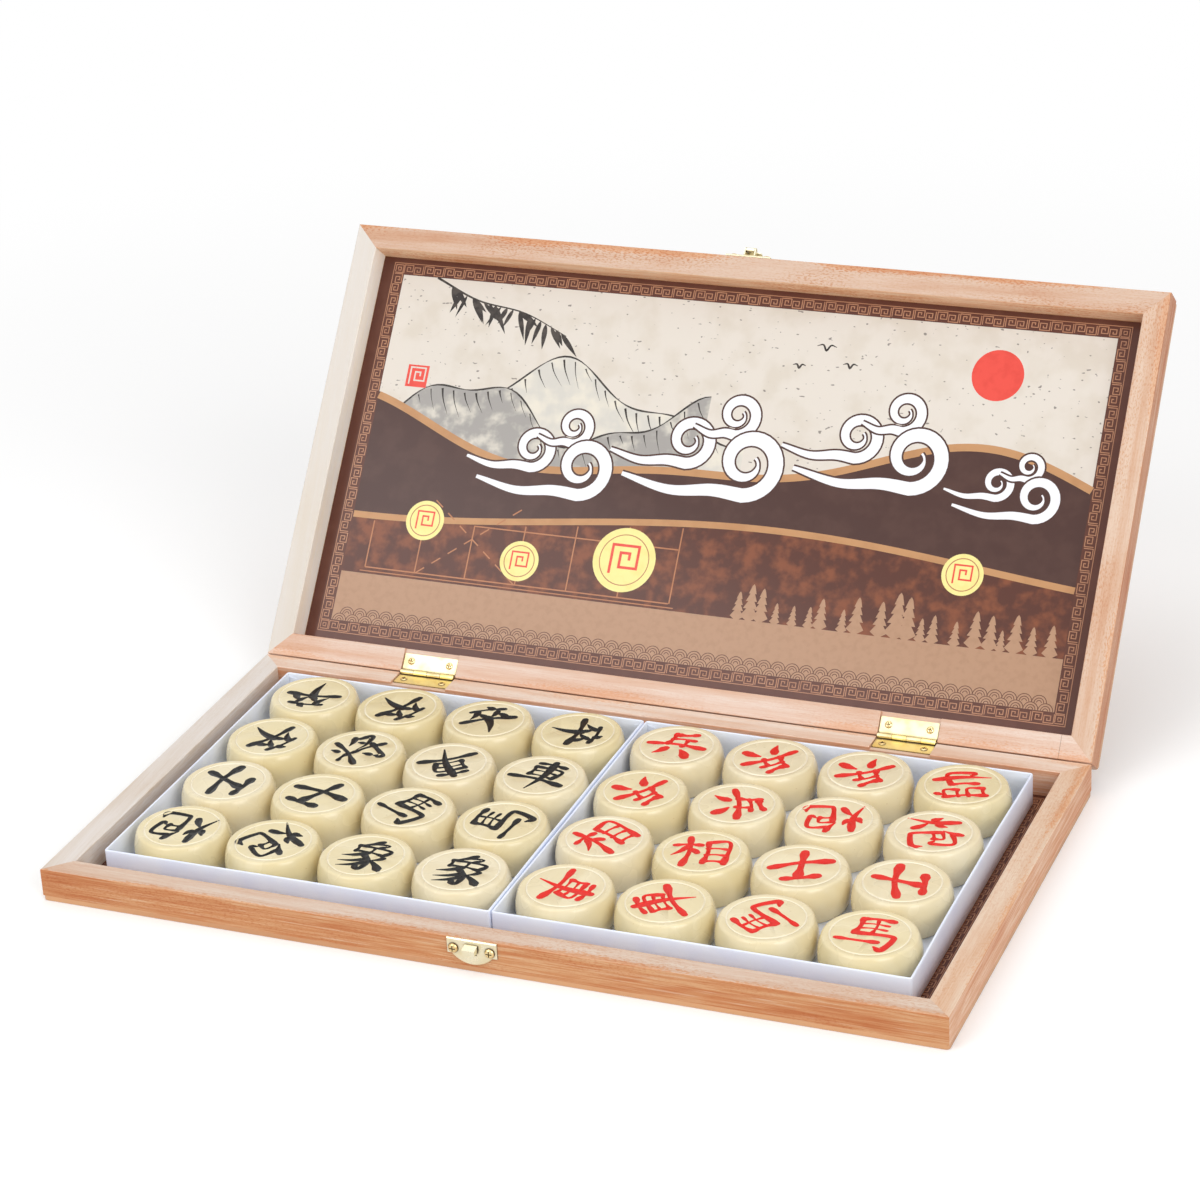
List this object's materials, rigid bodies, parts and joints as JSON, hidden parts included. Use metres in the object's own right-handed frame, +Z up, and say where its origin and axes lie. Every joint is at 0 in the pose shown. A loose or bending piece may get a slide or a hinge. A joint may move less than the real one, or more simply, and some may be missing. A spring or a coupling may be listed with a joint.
{
  "type": "xiangqi box",
  "caption": "Folding wooden xiangqi box, hinged lid open, with a latch, card trays and turned, marked pieces.",
  "frame": {"origin": "middle of the underside of the base half, where it rests on the table", "axes": "+X to the right along the box, +Y from the latch side towards the hinges, +Z up"},
  "size_m": [0.378, 0.3472, 0.1763],
  "materials": {
    "beech_rail": "matt sanded and clear sealed",
    "board_panel": "smooth varnished thin board",
    "printed_card": "glossy printed card",
    "tray_card": "smooth white card",
    "brass_plated": "bright brass plating",
    "piece_wood_black": "glossy lacquer, mark cut in and painted black",
    "piece_wood_red": "glossy lacquer, mark cut in and painted red"
  },
  "bodies": {
    "base": {"base_front_rail": "beech_rail", "base_rear_rail": "beech_rail", "base_left_rail": "beech_rail", "base_right_rail": "beech_rail", "base_panel": "board_panel", "base_printed_sheet": "printed_card", "left_hinge_base_leaf": "brass_plated", "right_hinge_base_leaf": "brass_plated", "left_hinge_pin": "brass_plated", "right_hinge_pin": "brass_plated", "base_hinge_screws": "brass_plated", "catch_plate": "brass_plated", "catch_screws": "brass_plated"},
    "lid": {"lid_front_rail": "beech_rail", "lid_rear_rail": "beech_rail", "lid_left_rail": "beech_rail", "lid_right_rail": "beech_rail", "lid_panel": "board_panel", "lid_printed_card": "printed_card", "left_hinge_lid_leaf": "brass_plated", "right_hinge_lid_leaf": "brass_plated", "lid_hinge_screws": "brass_plated", "latch_plate": "brass_plated", "latch_screws": "brass_plated", "latch_pin": "brass_plated"},
    "latch_arm": {"latch_arm": "brass_plated"},
    "black_tray": {"black_tray": "tray_card"},
    "red_tray": {"red_tray": "tray_card"},
    "black_soldier_1": {"black_soldier_1": "piece_wood_black"},
    "black_soldier_2": {"black_soldier_2": "piece_wood_black"},
    "black_soldier_3": {"black_soldier_3": "piece_wood_black"},
    "black_soldier_4": {"black_soldier_4": "piece_wood_black"},
    "black_soldier_5": {"black_soldier_5": "piece_wood_black"},
    "black_general": {"black_general": "piece_wood_black"},
    "black_chariot_1": {"black_chariot_1": "piece_wood_black"},
    "black_chariot_2": {"black_chariot_2": "piece_wood_black"},
    "black_advisor_1": {"black_advisor_1": "piece_wood_black"},
    "black_advisor_2": {"black_advisor_2": "piece_wood_black"},
    "black_horse_1": {"black_horse_1": "piece_wood_black"},
    "black_horse_2": {"black_horse_2": "piece_wood_black"},
    "black_cannon_1": {"black_cannon_1": "piece_wood_black"},
    "black_cannon_2": {"black_cannon_2": "piece_wood_black"},
    "black_elephant_1": {"black_elephant_1": "piece_wood_black"},
    "black_elephant_2": {"black_elephant_2": "piece_wood_black"},
    "red_soldier_1": {"red_soldier_1": "piece_wood_red"},
    "red_soldier_2": {"red_soldier_2": "piece_wood_red"},
    "red_soldier_3": {"red_soldier_3": "piece_wood_red"},
    "red_general": {"red_general": "piece_wood_red"},
    "red_soldier_4": {"red_soldier_4": "piece_wood_red"},
    "red_soldier_5": {"red_soldier_5": "piece_wood_red"},
    "red_cannon_1": {"red_cannon_1": "piece_wood_red"},
    "red_cannon_2": {"red_cannon_2": "piece_wood_red"},
    "red_elephant_1": {"red_elephant_1": "piece_wood_red"},
    "red_elephant_2": {"red_elephant_2": "piece_wood_red"},
    "red_advisor_1": {"red_advisor_1": "piece_wood_red"},
    "red_advisor_2": {"red_advisor_2": "piece_wood_red"},
    "red_chariot_1": {"red_chariot_1": "piece_wood_red"},
    "red_chariot_2": {"red_chariot_2": "piece_wood_red"},
    "red_horse_1": {"red_horse_1": "piece_wood_red"},
    "red_horse_2": {"red_horse_2": "piece_wood_red"}
  },
  "joints": [
    {"name": "lid_hinge", "type": "hinge", "parent": "base", "child": "lid", "pos_m": [0, 0.10215, 0.01415], "axis": [-1, 0, 0], "range_deg": [-128.5, 51.5]},
    {"name": "latch_arm_pivot", "type": "hinge", "parent": "lid", "child": "latch_arm", "pos_m": [0, 0.23388, 0.17534], "axis": [-1, 0, 0], "range_deg": [-201, 0]},
    {"name": "black_tray_lift", "type": "slide", "parent": "base", "child": "black_tray", "axis": [0, 0, 1], "range_m": [0, 0.03]},
    {"name": "red_tray_lift", "type": "slide", "parent": "base", "child": "red_tray", "axis": [0, 0, 1], "range_m": [0, 0.03]},
    {"name": "black_soldier_1_lift", "type": "slide", "parent": "black_tray", "child": "black_soldier_1", "axis": [0, 0, 1], "range_m": [0, 0.03]},
    {"name": "black_soldier_2_lift", "type": "slide", "parent": "black_tray", "child": "black_soldier_2", "axis": [0, 0, 1], "range_m": [0, 0.03]},
    {"name": "black_soldier_3_lift", "type": "slide", "parent": "black_tray", "child": "black_soldier_3", "axis": [0, 0, 1], "range_m": [0, 0.03]},
    {"name": "black_soldier_4_lift", "type": "slide", "parent": "black_tray", "child": "black_soldier_4", "axis": [0, 0, 1], "range_m": [0, 0.03]},
    {"name": "black_soldier_5_lift", "type": "slide", "parent": "black_tray", "child": "black_soldier_5", "axis": [0, 0, 1], "range_m": [0, 0.03]},
    {"name": "black_general_lift", "type": "slide", "parent": "black_tray", "child": "black_general", "axis": [0, 0, 1], "range_m": [0, 0.03]},
    {"name": "black_chariot_1_lift", "type": "slide", "parent": "black_tray", "child": "black_chariot_1", "axis": [0, 0, 1], "range_m": [0, 0.03]},
    {"name": "black_chariot_2_lift", "type": "slide", "parent": "black_tray", "child": "black_chariot_2", "axis": [0, 0, 1], "range_m": [0, 0.03]},
    {"name": "black_advisor_1_lift", "type": "slide", "parent": "black_tray", "child": "black_advisor_1", "axis": [0, 0, 1], "range_m": [0, 0.03]},
    {"name": "black_advisor_2_lift", "type": "slide", "parent": "black_tray", "child": "black_advisor_2", "axis": [0, 0, 1], "range_m": [0, 0.03]},
    {"name": "black_horse_1_lift", "type": "slide", "parent": "black_tray", "child": "black_horse_1", "axis": [0, 0, 1], "range_m": [0, 0.03]},
    {"name": "black_horse_2_lift", "type": "slide", "parent": "black_tray", "child": "black_horse_2", "axis": [0, 0, 1], "range_m": [0, 0.03]},
    {"name": "black_cannon_1_lift", "type": "slide", "parent": "black_tray", "child": "black_cannon_1", "axis": [0, 0, 1], "range_m": [0, 0.03]},
    {"name": "black_cannon_2_lift", "type": "slide", "parent": "black_tray", "child": "black_cannon_2", "axis": [0, 0, 1], "range_m": [0, 0.03]},
    {"name": "black_elephant_1_lift", "type": "slide", "parent": "black_tray", "child": "black_elephant_1", "axis": [0, 0, 1], "range_m": [0, 0.03]},
    {"name": "black_elephant_2_lift", "type": "slide", "parent": "black_tray", "child": "black_elephant_2", "axis": [0, 0, 1], "range_m": [0, 0.03]},
    {"name": "red_soldier_1_lift", "type": "slide", "parent": "red_tray", "child": "red_soldier_1", "axis": [0, 0, 1], "range_m": [0, 0.03]},
    {"name": "red_soldier_2_lift", "type": "slide", "parent": "red_tray", "child": "red_soldier_2", "axis": [0, 0, 1], "range_m": [0, 0.03]},
    {"name": "red_soldier_3_lift", "type": "slide", "parent": "red_tray", "child": "red_soldier_3", "axis": [0, 0, 1], "range_m": [0, 0.03]},
    {"name": "red_general_lift", "type": "slide", "parent": "red_tray", "child": "red_general", "axis": [0, 0, 1], "range_m": [0, 0.03]},
    {"name": "red_soldier_4_lift", "type": "slide", "parent": "red_tray", "child": "red_soldier_4", "axis": [0, 0, 1], "range_m": [0, 0.03]},
    {"name": "red_soldier_5_lift", "type": "slide", "parent": "red_tray", "child": "red_soldier_5", "axis": [0, 0, 1], "range_m": [0, 0.03]},
    {"name": "red_cannon_1_lift", "type": "slide", "parent": "red_tray", "child": "red_cannon_1", "axis": [0, 0, 1], "range_m": [0, 0.03]},
    {"name": "red_cannon_2_lift", "type": "slide", "parent": "red_tray", "child": "red_cannon_2", "axis": [0, 0, 1], "range_m": [0, 0.03]},
    {"name": "red_elephant_1_lift", "type": "slide", "parent": "red_tray", "child": "red_elephant_1", "axis": [0, 0, 1], "range_m": [0, 0.03]},
    {"name": "red_elephant_2_lift", "type": "slide", "parent": "red_tray", "child": "red_elephant_2", "axis": [0, 0, 1], "range_m": [0, 0.03]},
    {"name": "red_advisor_1_lift", "type": "slide", "parent": "red_tray", "child": "red_advisor_1", "axis": [0, 0, 1], "range_m": [0, 0.03]},
    {"name": "red_advisor_2_lift", "type": "slide", "parent": "red_tray", "child": "red_advisor_2", "axis": [0, 0, 1], "range_m": [0, 0.03]},
    {"name": "red_chariot_1_lift", "type": "slide", "parent": "red_tray", "child": "red_chariot_1", "axis": [0, 0, 1], "range_m": [0, 0.03]},
    {"name": "red_chariot_2_lift", "type": "slide", "parent": "red_tray", "child": "red_chariot_2", "axis": [0, 0, 1], "range_m": [0, 0.03]},
    {"name": "red_horse_1_lift", "type": "slide", "parent": "red_tray", "child": "red_horse_1", "axis": [0, 0, 1], "range_m": [0, 0.03]},
    {"name": "red_horse_2_lift", "type": "slide", "parent": "red_tray", "child": "red_horse_2", "axis": [0, 0, 1], "range_m": [0, 0.03]}
  ]
}
